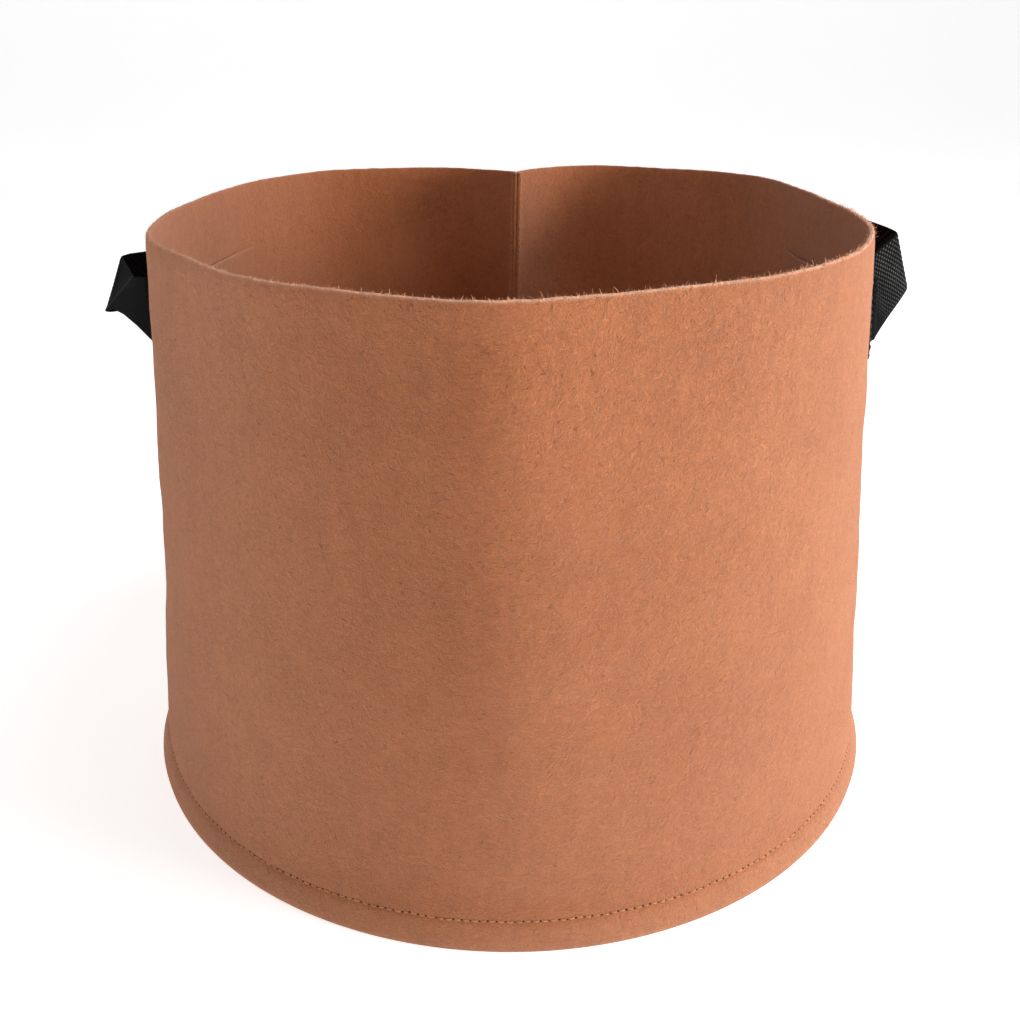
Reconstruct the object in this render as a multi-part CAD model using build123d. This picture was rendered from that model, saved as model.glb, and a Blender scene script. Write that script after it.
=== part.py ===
from build123d import *
import math
import os

# Fabric grow bag. +Z up, the bag stands on z = 0, the front faces -Y, and the handles are on -X and +X.
# The origin is the middle of the base, on the surface that the bag stands on. Millimetres.

HEIGHT = 251.0            # from the floor to the cut rim
SKIRT_RADIUS = 178.0      # widest point, on the flared seam allowance at the foot
WALL_RADIUS = 173.2       # the round lower wall, just above the base seam
SEAM_Z = 11.5             # height of the base seam's stitch line
ROUND_UNTIL_Z = 22.0      # the wall is a true circle up to here, and eases into the rim's outline above
FELT = 2.5                # thickness of the non-woven felt
FELT_GAP = 0.1            # clearance between felt layers that lie on each other

FLANGE_LIFT = 0.2         # the base panel's turned edge hangs this far above the floor
BASE_RISE_WIDTH = 24.0    # the ring over which the base panel rises from the floor to the seam
BASE_RISE_UNDER = (10.0, 3.0)  # a point of that rise on the underside: outwards from its start, and up
BASE_RISE_OVER = (8.0, 5.0)    # the same on the upper side

FIN_DEPTH = 9.0           # side seam allowance, turned to the inside
FIN_LAYER = 2.2           # each of the fin's two layers, pressed by the stitches
FIN_ROOT_RISE = 2.8       # how much further out the fin starts at the rim, where the back folds in
FIN_THREAD_INSET = 3.5    # side seam stitches, from the fin's free edge
FIN_THREAD_BOTTOM_Z = 16.5
FIN_THREAD_TOP_Z = HEIGHT - 3.0
THREAD = 0.7              # sewing thread, as it lies on the cloth

STRAP_WIDTH = 28.0
STRAP_THICK = 1.6
TAB_CENTRE_Z = 212.5      # middle of the sewn strap ends
TAB_LENGTH = 22.0
STITCH_INSET = 3.0        # box stitching, from the strap's edges
PATCH_TOP_Z = 219.0
PATCH_BOTTOM_Z = 183.0
LEG_SHARES = (0.0, 0.3, 0.6, 0.86)  # stations along each leg of a handle, towards its middle
LEG_START_IN_TAB = 4.0    # each leg starts this far inside its sewn end
LEG_CLEARANCE = 0.05      # between the start of a leg and the wall
LEG_STEP_OUT = 0.6        # how far the strap stands off the wall where its stitching ends
OUTWARD_EASE = 1.2        # how quickly a leg reaches its distance from the wall, 1 being a straight run
UPWARD_EASE = 1.8         # how quickly it reaches its height
LOOP_GAP = 0.6            # clearance between the swinging loop and its two sewn ends

SIDE_CUT_NEAR_X = 110.0   # blocks that cut pieces out of a side start here
SIDE_CUT_DEPTH = 90.0
SIDE_CUT_END_Y = 130.0    # and reach this far to the front and the back
SIDE_CUT_BOTTOM_Z = 120.0

# The rim's outline, from the front crease round each side to the back seam. The bag was stored folded flat,
# so the front keeps a soft crease, the sides lie nearer than they would on a round bag, and the back is a heart.
RIM_CREASE = (-8, -197.5)
RIM_SEAM = (4, 150)
RIM_RIGHT = [(20, -190), (69, -166), (105, -134), (131, -89), (143, -42), (146, 10), (145.5, 60),
             (141, 103), (124, 143), (92, 171), (55, 187.5), (28, 181)]
RIM_LEFT = [(-31, -190), (-73, -167), (-104, -132), (-129.5, -92), (-140, -50), (-144, -5), (-143.5, 40),
            (-138, 87), (-126, 122), (-106, 153), (-80, 168), (-45, 174), (-20, 168)]

# Each handle: the side it is on, where its sewn ends start along Y, where its middle stands, how far that middle
# leans (its lower edge further out) in degrees, how far each leg twists back and bows upwards, the x of the line
# about which the loop swings, and its inner patch along Y.
HANDLES = {
    "left": {"side": -1, "front_y": -38.0, "rear_y": 58.0, "middle": (186.0, 17.0, 212.5), "lean": 20.0,
             "twists": (16.0, 0.0), "bows": (1.0, 0.0), "pivot_out": 163.0, "patch_y": (-66.0, 86.0)},
    "right": {"side": 1, "front_y": -38.0, "rear_y": 46.0, "middle": (184.5, 24.0, 221.5), "lean": 20.0,
              "twists": (12.0, 0.0), "bows": (0.0, 3.0), "pivot_out": 166.0, "patch_y": (-66.0, 71.0)},
}

# The wall's foot from the floor up: height and radius of its outer face.
SKIRT_PROFILE = [(0.0, 177.6), (3.0, SKIRT_RADIUS), (8.0, 175.9), (SEAM_Z, 174.0),
                 (15.0, 173.6), (ROUND_UNTIL_Z, WALL_RADIUS)]
WALL_LEVELS = [z for z, _ in SKIRT_PROFILE] + [HEIGHT]


def half_lengths(points):
    """How far along a run of points each one lies, from 0 to 1."""
    steps = [math.dist(a, b) for a, b in zip(points, points[1:])]
    return [sum(steps[:i]) / sum(steps) for i in range(len(points))]


def rim_share(z):
    """How far the wall has eased from its round foot, 0, into the rim's outline, 1, at a height."""
    return max(0.0, (z - ROUND_UNTIL_Z) / (HEIGHT - ROUND_UNTIL_Z))


def profile_radius(z):
    """Radius of the round part of the wall at a height."""
    for (za, ra), (zb, rb) in zip(SKIRT_PROFILE, SKIRT_PROFILE[1:]):
        if za <= z <= zb:
            return ra + (rb - ra) * (z - za) / (zb - za)
    return WALL_RADIUS


def outline(rim_half, side, z, offset):
    """Points of one half of the wall's outline at a height, from the front crease to the back seam."""
    rim = [RIM_CREASE, *rim_half, RIM_SEAM]
    share = rim_share(z)
    radius = profile_radius(z)
    middle = []
    for point, along in zip(rim, half_lengths(rim)):
        angle = math.pi * along
        circle = (side * radius * math.sin(angle), -radius * math.cos(angle))
        middle.append(tuple(c + (p - c) * share for c, p in zip(circle, point)))
    moved = []
    for i, (x, y) in enumerate(middle):
        before, after = middle[max(i - 1, 0)], middle[min(i + 1, len(middle) - 1)]
        if i in (0, len(middle) - 1):
            moved.append((x, y - offset if i == 0 else y + offset))
            continue
        dx, dy = after[0] - before[0], after[1] - before[1]
        run = math.hypot(dx, dy)
        moved.append((x + side * offset * dy / run, y - side * offset * dx / run))
    return [(x, y, z) for x, y in moved]


def wall_section(z, offset):
    """The closed outline of the wall at a height, moved outwards by offset."""
    edges = []
    for rim_half, side in ((RIM_RIGHT, 1), (RIM_LEFT, -1)):
        points = [Vector(*p) for p in outline(rim_half, side, z, offset)]
        shares = half_lengths([RIM_CREASE, *rim_half, RIM_SEAM])
        edges.append(Edge.make_spline(points, parameters=shares))
    return Wire(edges)


def wall_body(offset, bottom=ROUND_UNTIL_Z):
    """The space inside the wall's outline, moved outwards by offset, from a height up to the rim."""
    levels = [z for z in WALL_LEVELS if z >= bottom]
    return Solid.make_loft([wall_section(z, offset) for z in levels], ruled=True)


def seam_point(z):
    """Where the wall's two ends meet at the back, on its outer face."""
    x, y, _ = outline(RIM_RIGHT, 1, z, 0)[-1]
    return x, y


def cavity_section(z):
    """The outline of the bag's inside at a height, going round the fin of the side seam."""
    seam_x, seam_y = seam_point(z)
    root_y = seam_y - FELT + rim_share(z) * FIN_ROOT_RISE
    tip_y = seam_y - FELT - FIN_DEPTH
    halves = {}
    for rim_half, side in ((RIM_RIGHT, 1), (RIM_LEFT, -1)):
        points = outline(rim_half, side, z, -FELT)
        points[-1] = (seam_x + side * FIN_LAYER, root_y, z)
        along = half_lengths([RIM_CREASE, *rim_half, RIM_SEAM])
        halves[side] = Edge.make_spline([Vector(*p) for p in points], parameters=along)
    right, left = seam_x + FIN_LAYER, seam_x - FIN_LAYER
    fin = [
        Edge.make_line((right, root_y, z), (right, tip_y, z)),
        Edge.make_line((right, tip_y, z), (left, tip_y, z)),
        Edge.make_line((left, tip_y, z), (left, root_y, z)),
    ]
    return Wire([halves[1], *fin, halves[-1]])


def wall_panel():
    """One strip of felt, closed at the back by a seam whose allowance stands inwards as a fin."""
    inside = Solid.make_loft([cavity_section(z) for z in WALL_LEVELS], ruled=True)
    return wall_body(0.0, 0.0) - inside


def side_seam_thread():
    """The two rows of thread that lie on the fin's faces."""
    rows = []
    for side in (-1, 1):
        sections = []
        for z in (FIN_THREAD_BOTTOM_Z, ROUND_UNTIL_Z, FIN_THREAD_TOP_Z):
            x, y = seam_point(z)
            face, out = x + side * FIN_LAYER, x + side * (FIN_LAYER + THREAD / 2)
            near = y - FELT - FIN_DEPTH + FIN_THREAD_INSET
            corners = [(face, near, z), (out, near, z), (out, near + THREAD, z), (face, near + THREAD, z)]
            sections.append(Wire.make_polygon([Vector(*c) for c in corners], close=True))
        rows.append(Solid.make_loft(sections, ruled=True))
    return Compound(rows)


def base_panel():
    """A felt disc that lies on the floor, rises at its edge to the seam and is turned down inside the skirt.
    A slot in its edge takes the foot of the side seam's fin."""
    outside = [(r - FELT - FELT_GAP, max(z, FLANGE_LIFT)) for z, r in SKIRT_PROFILE if z <= SEAM_Z]
    inside = [(r - FELT, z) for r, z in outside[:-1]]
    seam_r = outside[-1][0]
    flat = seam_r - BASE_RISE_WIDTH
    under = (flat + BASE_RISE_UNDER[0], BASE_RISE_UNDER[1])
    over = (flat + BASE_RISE_OVER[0], BASE_RISE_OVER[1])
    fold = (seam_r - FELT, SEAM_Z + 1.0)
    with BuildPart() as panel:
        with BuildSketch(Plane.XZ):
            with BuildLine():
                Line((0, 0), (flat, 0))
                Spline((flat, 0), under, inside[-1], tangents=((1, 0), (1, 0.5)))
                Polyline(*reversed(inside))
                Line(inside[0], outside[0])
                Polyline(*outside)
                Spline(outside[-1], fold, over, (flat, FELT), tangents=((0, 1), (-1, 0)))
                Line((flat, FELT), (0, FELT))
                Line((0, FELT), (0, 0))
            make_face()
        revolve(axis=Axis.Z)
    seam_x, seam_y = seam_point(0.0)
    slot_length = 2 * (FELT + FIN_DEPTH + FELT_GAP)
    slot = Box(2 * (FIN_LAYER + FELT_GAP), slot_length, 4 * SEAM_Z)
    return panel.part - Pos(seam_x, seam_y - FELT, 0) * slot


def base_seam_thread():
    """The row of thread round the foot, pressed into the felt."""
    radius = profile_radius(SEAM_Z)
    ring = Cylinder(radius + THREAD / 2, THREAD) - Cylinder(radius, THREAD)
    return Pos(0, 0, SEAM_Z) * ring


def side_block(side, y_low, y_high, z_low, z_high):
    """A block on one side of the bag, for cutting a piece out of a shell."""
    block = Box(SIDE_CUT_DEPTH, y_high - y_low, z_high - z_low)
    middle_x = side * (SIDE_CUT_NEAR_X + SIDE_CUT_DEPTH / 2)
    return Pos(middle_x, (y_low + y_high) / 2, (z_low + z_high) / 2) * block


def inner_patch(handle, patch_shell):
    """The felt patch behind a handle, lying on the wall's inner face."""
    low, high = handle["patch_y"]
    return patch_shell & side_block(handle["side"], low, high, PATCH_BOTTOM_Z, PATCH_TOP_Z)


def strap_tab(handle, strap_shell, which):
    """The sewn end of a strap, lying on the wall's outer face."""
    y = handle["front_y"] if which == "front" else handle["rear_y"]
    away = -1 if which == "front" else 1
    low, high = sorted((y, y + away * TAB_LENGTH))
    half = STRAP_WIDTH / 2
    return strap_shell & side_block(handle["side"], low, high, TAB_CENTRE_Z - half, TAB_CENTRE_Z + half)


def box_stitch(handle, thread_shell, which):
    """A box with a cross in it, sewn through a strap end."""
    y = handle["front_y"] if which == "front" else handle["rear_y"]
    away = -1 if which == "front" else 1
    low, high = sorted((y + away * STITCH_INSET, y + away * (TAB_LENGTH - STITCH_INSET)))
    wide, tall = high - low, STRAP_WIDTH - 2 * STITCH_INSET
    frame = Rectangle(wide, tall) - Rectangle(wide - 2 * THREAD, tall - 2 * THREAD)
    slant = math.degrees(math.atan2(tall, wide))
    cross_length = math.hypot(wide, tall) - 1.5 * THREAD
    for angle in (slant, -slant):
        frame += Rot(0, 0, angle) * Rectangle(cross_length, THREAD)
    side = handle["side"]
    origin = (side * SIDE_CUT_NEAR_X, (low + high) / 2, TAB_CENTRE_Z)
    plane = Plane(origin=origin, x_dir=(0, 1, 0), z_dir=(side, 0, 0))
    return thread_shell & extrude(plane * frame, SIDE_CUT_DEPTH)


def wall_x(handle, y, z):
    """How far out the wall's outer face is at a handle, at a given y and z."""
    half = RIM_RIGHT if handle["side"] > 0 else RIM_LEFT
    points = outline(half, handle["side"], z, 0)
    for (xa, ya, _), (xb, yb, _) in zip(points, points[1:]):
        if ya <= y <= yb:
            return abs(xa + (xb - xa) * (y - ya) / (yb - ya))
    raise ValueError("no wall there")


def strap_stations(handle):
    """Middle points of the strap from its front sewn end to its rear one, each with its lean in degrees."""
    out, mid_y, mid_z = handle["middle"]
    lift = STRAP_THICK / 2 + LEG_CLEARANCE
    legs = []
    ends = zip((handle["front_y"], handle["rear_y"]), (-1, 1), handle["twists"], handle["bows"])
    for end_y, away, twist, bow in ends:
        tab_y = end_y + away * LEG_START_IN_TAB
        start = wall_x(handle, end_y, TAB_CENTRE_Z) + lift + LEG_STEP_OUT
        leg = [(wall_x(handle, tab_y, TAB_CENTRE_Z) + lift, tab_y, TAB_CENTRE_Z, 0.0)]
        for share in LEG_SHARES:
            wave = math.sin(math.pi * share)
            x = start + (out - start) * (1 - (1 - share) ** OUTWARD_EASE)
            z = TAB_CENTRE_Z + (mid_z - TAB_CENTRE_Z) * (1 - (1 - share) ** UPWARD_EASE) + bow * wave
            lean = handle["lean"] * share ** 2 - twist * wave
            leg.append((x, end_y + (mid_y - end_y) * share, z, lean))
        legs.append(leg)
    return [*legs[0], (out, mid_y, mid_z, handle["lean"]), *reversed(legs[1])]


def strap_free_part(handle):
    """The strap between its sewn ends, as one band that stands out from the wall."""
    side = handle["side"]
    stations = [(side * x, y, z, lean) for x, y, z, lean in strap_stations(handle)]
    sections = []
    for i, (x, y, z, lean) in enumerate(stations):
        before, after = stations[max(i - 1, 0)], stations[min(i + 1, len(stations) - 1)]
        along = Vector(after[0] - before[0], after[1] - before[1], 0).normalized()
        face = Vector(along.Y, -along.X, 0)
        if face.X * side < 0:
            face = -face
        tilt = math.radians(lean)
        up = Vector(0, 0, 1) * math.cos(tilt) - face * math.sin(tilt)
        section = Plane(origin=(x, y, z), x_dir=up, z_dir=up.cross(face))
        sections.append((section * Rectangle(STRAP_WIDTH, STRAP_THICK)).face().outer_wire())
    return Solid.make_loft(sections)


def cut_strap(handle, band, tabs):
    """Splits the strap where the loop starts to swing: two sewn ends and the loop between them."""
    pivot_out = handle["pivot_out"]
    crossings = []
    stations = strap_stations(handle)
    for a, b in zip(stations, stations[1:]):
        if (a[0] - pivot_out) * (b[0] - pivot_out) < 0:
            crossings.append(a[1] + (b[1] - a[1]) * (pivot_out - a[0]) / (b[0] - a[0]))
    front_cut, rear_cut = crossings

    def stretch(y_low, y_high):
        return band & side_block(handle["side"], y_low, y_high, SIDE_CUT_BOTTOM_Z, HEIGHT)

    front = stretch(-SIDE_CUT_END_Y, front_cut - LOOP_GAP / 2)
    loop = stretch(front_cut + LOOP_GAP / 2, rear_cut - LOOP_GAP / 2)
    rear = stretch(rear_cut + LOOP_GAP / 2, SIDE_CUT_END_Y)
    return {"strap_front_end": tabs["front"] + front, "strap_rear_end": tabs["rear"] + rear, "strap_loop": loop}


def build():
    """Every piece of the bag, by the name of its node."""
    patch_shell = wall_body(-FELT - FELT_GAP) - wall_body(-2 * FELT)
    strap_shell = wall_body(STRAP_THICK) - wall_body(0.0)
    thread_shell = wall_body(STRAP_THICK + THREAD / 2) - wall_body(STRAP_THICK)
    nodes = {
        "wall_panel": wall_panel(),
        "base_panel": base_panel(),
        "side_seam_thread": side_seam_thread(),
        "base_seam_thread": base_seam_thread(),
    }
    for name, handle in HANDLES.items():
        nodes[f"{name}_inner_patch"] = inner_patch(handle, patch_shell)
        tabs = {which: strap_tab(handle, strap_shell, which) for which in ("front", "rear")}
        for part, solid in cut_strap(handle, strap_free_part(handle) - wall_body(0.0), tabs).items():
            nodes[f"{name}_{part}"] = solid
        for which in ("front", "rear"):
            nodes[f"{name}_{which}_box_stitch"] = box_stitch(handle, thread_shell, which)
    return nodes


os.makedirs("parts", exist_ok=True)
for node, shape in build().items():
    export_step(shape, f"parts/{node}.step")
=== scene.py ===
import math

import bpy
import numpy as np
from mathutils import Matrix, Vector


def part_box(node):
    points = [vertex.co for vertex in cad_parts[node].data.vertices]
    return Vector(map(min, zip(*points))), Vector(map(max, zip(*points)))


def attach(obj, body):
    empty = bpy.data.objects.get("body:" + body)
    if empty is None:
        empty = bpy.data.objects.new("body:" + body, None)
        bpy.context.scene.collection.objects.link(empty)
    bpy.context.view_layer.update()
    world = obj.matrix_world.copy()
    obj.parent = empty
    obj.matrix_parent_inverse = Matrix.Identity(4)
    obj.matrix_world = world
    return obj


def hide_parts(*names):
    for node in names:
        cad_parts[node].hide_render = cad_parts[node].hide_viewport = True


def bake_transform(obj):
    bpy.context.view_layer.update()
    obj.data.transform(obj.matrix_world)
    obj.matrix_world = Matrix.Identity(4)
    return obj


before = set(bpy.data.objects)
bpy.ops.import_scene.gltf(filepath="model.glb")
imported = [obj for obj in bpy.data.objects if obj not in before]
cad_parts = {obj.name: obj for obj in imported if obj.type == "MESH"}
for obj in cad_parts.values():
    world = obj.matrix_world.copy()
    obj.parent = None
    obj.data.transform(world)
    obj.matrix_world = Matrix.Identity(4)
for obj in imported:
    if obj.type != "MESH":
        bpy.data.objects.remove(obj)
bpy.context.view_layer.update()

# Looks of a fabric grow bag, built round its CAD frame. Shapes are worked out in millimetres and become
# metres when a mesh is made. The bag stands on z = 0, its front faces -Y and its handles are on -X and +X.
# Without a word on units, lengths are millimetres, and noise scales are features for each metre.

MM = 0.001
WALL_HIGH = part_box("wall_panel")[1]
HEIGHT = WALL_HIGH.z / MM
SKIRT_RADIUS = WALL_HIGH.x / MM

FELT = 2.5  # thickness of the felt
ROUND_UNTIL_Z = 22.0  # the wall is round up to here, and eases into the rim's outline above
SEAM_Z = 11.5  # the base seam's stitch line
STITCH_PITCH = 3.35
SEAM_DENT = 0.45  # how far the base seam pulls the wall in
FIN_CLEAR_TURN = 0.12  # the inner row of the base seam stops this far each side of the fin, in radians
# The wall's foot from the floor up: height, and how far inside the skirt's widest circle the outer face is.
SKIRT_PROFILE = [(0.0, 0.4), (3.0, 0.0), (8.0, 2.1), (11.5, 4.0), (15.0, 4.4), (22.0, 4.8)]

# The rim's outline, as in the CAD: from the front crease round each side to the back seam.
RIM_CREASE = (-8, -197.5)
RIM_SEAM = (4, 150)
RIM_RIGHT = [(20, -190), (69, -166), (105, -134), (131, -89), (143, -42), (146, 10), (145.5, 60),
             (141, 103), (124, 143), (92, 171), (55, 187.5), (28, 181)]
RIM_LEFT = [(-31, -190), (-73, -167), (-104, -132), (-129.5, -92), (-140, -50), (-144, -5), (-143.5, 40),
            (-138, 87), (-126, 122), (-106, 153), (-80, 168), (-45, 174), (-20, 168)]

FIN_DEPTH = 9.0  # side seam allowance, turned to the inside
FIN_LAYER = 2.2  # each of its two layers, pressed by the stitches
FIN_THREAD_INSET = 3.5
BEND_LEG = 3.2  # how far from the corner the wall starts to turn into the fin

WALL_COLUMNS = 820
BEND_COLUMNS = 10
FIN_COLUMNS = 6

STRAP_WIDTH = 28.0
STRAP_THICK = 1.6
STRAP_CENTRE_Z = 212.5  # middle of the sewn strap ends
TAB_LENGTH = 22.0
STITCH_INSET = 3.0
TAB_PRESS = 0.8  # the sewn strap ends press this far into the felt
FIN_RIM_THINNING = 0.1  # the fin's rim is thinned by this share of what the wall's rim is
SKIRT_PAINTED_LIGHT = 0.14  # painted light: how much paler the folded foot is painted below the base seam, where it tilts away from the lights
UNLIT_RIM_CUT = 0.15  # how pale the rim's cut is at the back and on the left, against the front, where the paleness is partly a painted highlight
WEAVE_STEP = (1.45, 1.25)  # from one raised yarn of the webbing to the next, along and across it
WEAVE_RELIEF = 0.36
# Reach of the painted highlight along the left handle's crease, along the webbing.
CREASE_HIGHLIGHT_REACH = 0.9
PATCH_TOP_Z = 219.0
PATCH_BOTTOM_Z = 183.0
PATCH_THICK = 2.4
PATCH_GAP = 1.7  # the patch's top edge stands off the wall by so much, round this place along Y
PATCH_GAP_Y = 50.0
PATCH_GAP_REACH = 20.0

# Each handle: its side, where its sewn ends start along Y, its inner patch along Y, how softly its webbing
# bends, and lines across the free webbing from the front to the rear. Each line has its top and bottom end:
# how far out, y and z. The left one is folded sharply, with a slanting crease from its top edge to the fold.
# Their raised yarns get painted light, strongest between the middle two of the four yarn light lines and
# scaled by a share for each handle.
HANDLES = {
    "left": {
        "side": -1, "front_y": -38.0, "rear_y": 58.0, "patch_y": (-66.0, 86.0), "softness": 0.6,
        "crease_line": 4, "yarn_light": 0.34, "yarn_light_lines": (0, 4, 4, 5),
        "lines": [
            ((151.6, -36.0, 226.0), (152.2, -35.5, 199.0)),
            ((154.0, -32.5, 225.6), (163.0, -22.0, 202.6)),
            ((156.6, -29.5, 225.2), (173.5, -8.0, 204.4)),
            ((158.6, -27.5, 224.8), (183.0, 4.0, 204.4)),
            ((160.2, -26.0, 224.6), (190.2, 13.0, 201.2)),
            ((180.3, 17.5, 225.0), (190.6, 15.6, 200.4)),
            ((181.6, 22.0, 225.2), (190.8, 17.2, 199.8)),
            ((179.5, 27.0, 225.5), (189.5, 19.5, 199.4)),
            ((172.0, 31.5, 225.9), (181.0, 29.5, 198.8)),
            ((160.5, 44.0, 226.3), (165.0, 45.0, 198.5)),
        ],
    },
    "right": {
        "side": 1, "front_y": -38.0, "rear_y": 46.0, "patch_y": (-66.0, 71.0), "softness": 2.2,
        "yarn_light": 1.0, "yarn_light_lines": (2, 4, 7, 8),
        "lines": [
            ((153.0, -35.5, 226.6), (155.5, -34.5, 199.6)),
            ((154.0, -20.0, 224.0), (160.0, -22.0, 196.5)),
            ((157.0, -4.0, 223.2), (166.5, -9.5, 197.5)),
            ((163.0, 8.5, 225.5), (174.0, 2.5, 200.5)),
            ((171.5, 17.0, 230.4), (182.0, 13.5, 204.8)),
            ((180.0, 24.0, 234.6), (189.6, 25.0, 208.7)),
            ((181.8, 28.0, 235.2), (191.0, 29.8, 209.4)),
            ((179.0, 32.0, 236.6), (187.5, 34.8, 210.2)),
            ((170.5, 38.0, 239.3), (176.0, 41.0, 211.5)),
            ((160.0, 43.0, 236.3), (161.0, 44.5, 207.0)),
        ],
    },
}

FLOOR_BEHIND = 3.0  # the floor is level this far behind and before the bag, in metres, then bends up
FLOOR_BEND = 1.5
FLOOR_GLOW = 0.6
SOFT_BOX = 0.9
LIGHT_DISTANCE = 1.7

CAMERA_PLACE = (0.0, -0.4580, 0.3079)
CAMERA_PITCH = 23.942
CAMERA_LENS = 35.54

chance = np.random.default_rng(7)


# ---- curves and meshes

def smooth_curve(stations, values):
    """The natural cubic spline through values at stations, as a function of one number or many."""
    x = np.asarray(stations, float)
    v = np.asarray(values, float).reshape(len(x), -1)
    h = np.diff(x)
    matrix = np.eye(len(x))
    right = np.zeros_like(v)
    for i in range(1, len(x) - 1):
        matrix[i, i - 1:i + 2] = h[i - 1], 2 * (h[i - 1] + h[i]), h[i]
        right[i] = 6 * ((v[i + 1] - v[i]) / h[i] - (v[i] - v[i - 1]) / h[i - 1])
    bend = np.linalg.solve(matrix, right)

    def at(t):
        t = np.asarray(t, float)
        i = np.clip(np.searchsorted(x, t) - 1, 0, len(h) - 1)
        step = h[i][..., None]
        a = (x[i + 1] - t)[..., None] / step
        b = 1 - a
        curve = (a ** 3 - a) * bend[i] + (b ** 3 - b) * bend[i + 1]
        return a * v[i] + b * v[i + 1] + curve * step ** 2 / 6

    return at


def along(points):
    """The distance along a run of points to each of them."""
    steps = np.linalg.norm(np.diff(points, axis=0), axis=1)
    return np.concatenate([[0.0], np.cumsum(steps)])


def unit(vectors):
    """Vectors of length 1 in the same directions."""
    return vectors / np.linalg.norm(vectors, axis=-1, keepdims=True)


def ease(low, high, value):
    """A smooth step from 0 at low to 1 at high."""
    t = np.clip((np.asarray(value, float) - low) / (high - low), 0, 1)
    return t * t * (3 - 2 * t)


def waves(kind, u, v):
    """Soft unevenness over two coordinates: a sum of waves of many lengths. kind is its size, the number of
    waves, and the longest and the shortest of them."""
    size, count, longest, shortest = kind
    total = np.zeros(np.broadcast(u, v).shape)
    for length in np.geomspace(longest, shortest, count):
        heading = chance.uniform(0, 2 * math.pi)
        phase = chance.uniform(0, 2 * math.pi)
        across = (u * math.cos(heading) + v * math.sin(heading)) * 2 * math.pi / length
        total += np.sin(across + phase) * (length / longest) ** 0.5
    return size * (total / count ** 0.5)


def new_object(name, data):
    """A new object of the scene."""
    made = bpy.data.objects.new(name, data)
    bpy.context.scene.collection.objects.link(made)
    return made


def make_mesh(name, points, faces, material, **point_values):
    """A smooth-shaded object from points in millimetres, with values stored on its points."""
    mesh = bpy.data.meshes.new(name)
    mesh.from_pydata((np.asarray(points) * MM).tolist(), [], np.asarray(faces).tolist())
    mesh.polygons.foreach_set("use_smooth", np.ones(len(mesh.polygons), bool))
    for key, values in point_values.items():
        mesh.attributes.new(key, "FLOAT", "POINT").data.foreach_set("value", np.asarray(values, np.float32))
    mesh.materials.append(material)
    mesh.update()
    return new_object(name, mesh)


def slab(middle, normal, half, row_taper, column_taper=None, closed=False):
    """A closed slab of cloth round a sheet's middle surface: its points and faces. middle and normal are
    column by row by 3. The tapers thin the cloth at its first and last rows and columns."""
    columns, rows, _ = middle.shape
    taper = np.ones((columns, rows)) * np.asarray(row_taper)
    if column_taper is not None:
        taper = taper * np.asarray(column_taper)[:, None]
    offset = normal * (half * taper)[..., None]
    ring = both_faces(middle + offset, middle - offset)
    size = 2 * rows
    column = np.arange(columns if closed else columns - 1)[:, None]
    row = np.arange(size)[None, :]
    after = (column + 1) % columns
    above = (row + 1) % size
    corners = [column * size + row, after * size + row, after * size + above, column * size + above]
    faces = np.stack(corners, -1).reshape(-1, 4)
    if not closed:
        r = np.arange(rows - 1)
        cap = np.stack([r, r + 1, size - 2 - r, size - 1 - r], -1)
        faces = np.concatenate([faces, cap, cap[:, ::-1] + (columns - 1) * size])
    return ring.reshape(-1, 3), faces


def both_faces(outer, inner):
    """Values of a slab's two faces, column by row, in the order of its points."""
    return np.concatenate([outer, inner[:, ::-1]], axis=1)


def cut_edges(columns, rows, top=(), bottom=(), ends=0.0):
    """How much each point of a slab belongs to a raw cut edge, from the last and first rows inwards."""
    cut = np.zeros((columns, rows))
    for k, value in enumerate(top):
        cut[:, -1 - k] = value
    for k, value in enumerate(bottom):
        cut[:, k] = value
    cut[[0, -1]] = np.maximum(cut[[0, -1]], ends)
    return both_faces(cut, cut).ravel()


THREAD_SIDES = 8
THREAD_CAP = ((0, 1, 2, 3), (0, 3, 4, 7), (4, 5, 6, 7))


def tube(centres, radius, normal):
    """Points and faces of a closed thread that follows centres."""
    sides = THREAD_SIDES
    tangent = unit(np.gradient(centres, axis=0))
    across = unit(np.cross(tangent, normal))
    other = np.cross(across, tangent)
    angle = np.arange(sides) * 2 * math.pi / sides
    circle = np.cos(angle)[None, :, None] * across[:, None] + np.sin(angle)[None, :, None] * other[:, None]
    points = centres[:, None] + circle * np.asarray(radius).reshape(-1, 1, 1)
    n = len(centres)
    k = np.arange(n - 1)[:, None]
    j = np.arange(sides)[None, :]
    after = (j + 1) % sides
    corners = [k * sides + j, (k + 1) * sides + j, (k + 1) * sides + after, k * sides + after]
    cap = np.array(THREAD_CAP)
    faces = [np.stack(corners, -1).reshape(-1, 4), cap, cap[:, ::-1] + (n - 1) * sides]
    return points.reshape(-1, 3), np.concatenate(faces)


def join(parts):
    """One set of points and faces from several."""
    points, faces, count = [], [], 0
    for p, f in parts:
        points.append(p)
        faces.append(f + count)
        count += len(p)
    return np.concatenate(points), np.concatenate(faces)


# ---- materials

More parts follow.
